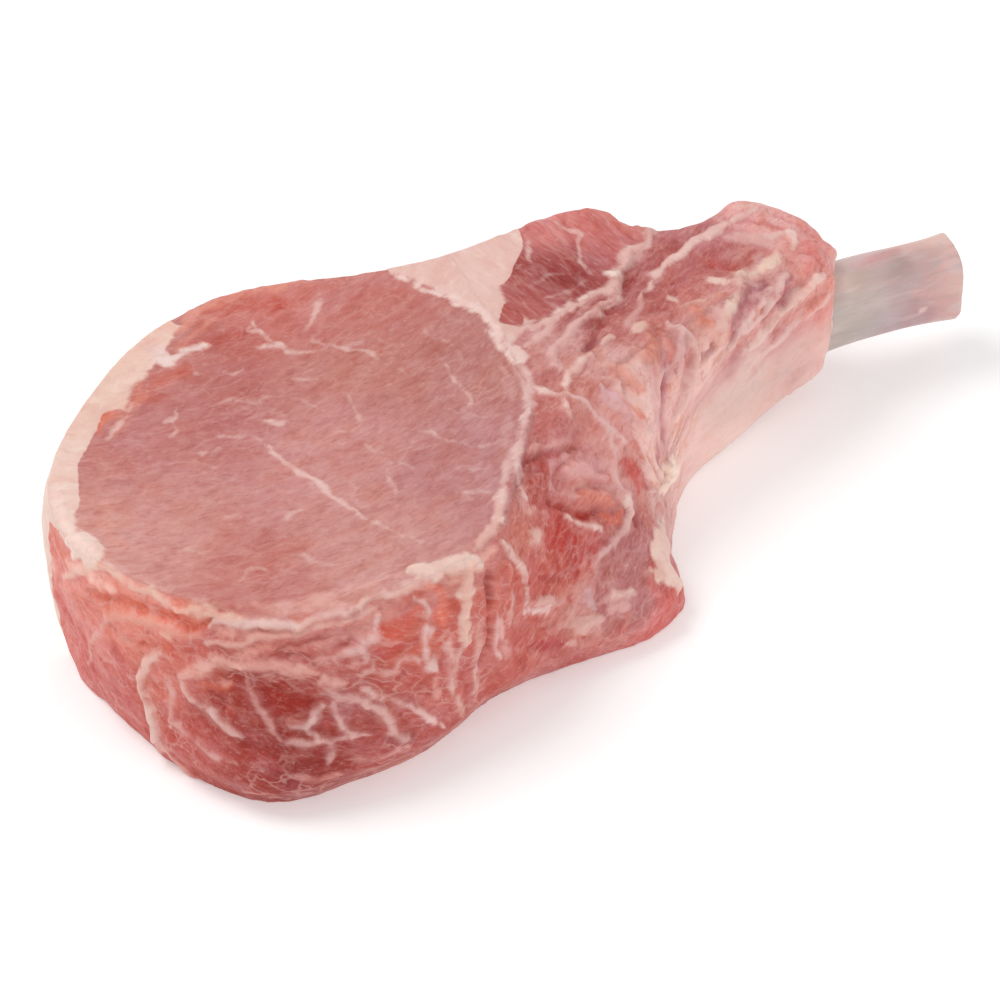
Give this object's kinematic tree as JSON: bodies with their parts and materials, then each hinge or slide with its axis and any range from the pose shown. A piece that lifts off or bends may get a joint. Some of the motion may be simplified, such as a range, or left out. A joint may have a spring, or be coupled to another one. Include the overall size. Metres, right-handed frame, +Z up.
{
  "type": "raw pork chop",
  "caption": "Raw bone-in pork rib chop lying on its cut face: round eye of loin, fat rim and seams, small cap muscle, rib meat and a frenched rib bone.",
  "frame": {"origin": "centre of the bounding box, on the plane of the lower cut face that the chop lies on", "axes": "+X along the chop towards the sawn tip of the rib, +Y towards the fat cap, +Z up through the thickness"},
  "size_m": [0.1863, 0.0953, 0.0395],
  "materials": {
    "loin_meat": "moist raw muscle, pale pink with fine grain and thin marbling",
    "dark_meat": "moist raw muscle, darker red and coarse grained",
    "rib_meat": "moist raw muscle, orange-pink with white membranes",
    "pork_fat": "waxy raw fat, peach to cream",
    "rib_bone": "scraped bone, grey-pink and slightly translucent"
  },
  "bodies": {
    "root": {"loin_eye": "loin_meat", "cap_muscle": "dark_meat", "rib_meat": "rib_meat", "seam_fat": "pork_fat", "rib_bone": "rib_bone"}
  },
  "joints": []
}
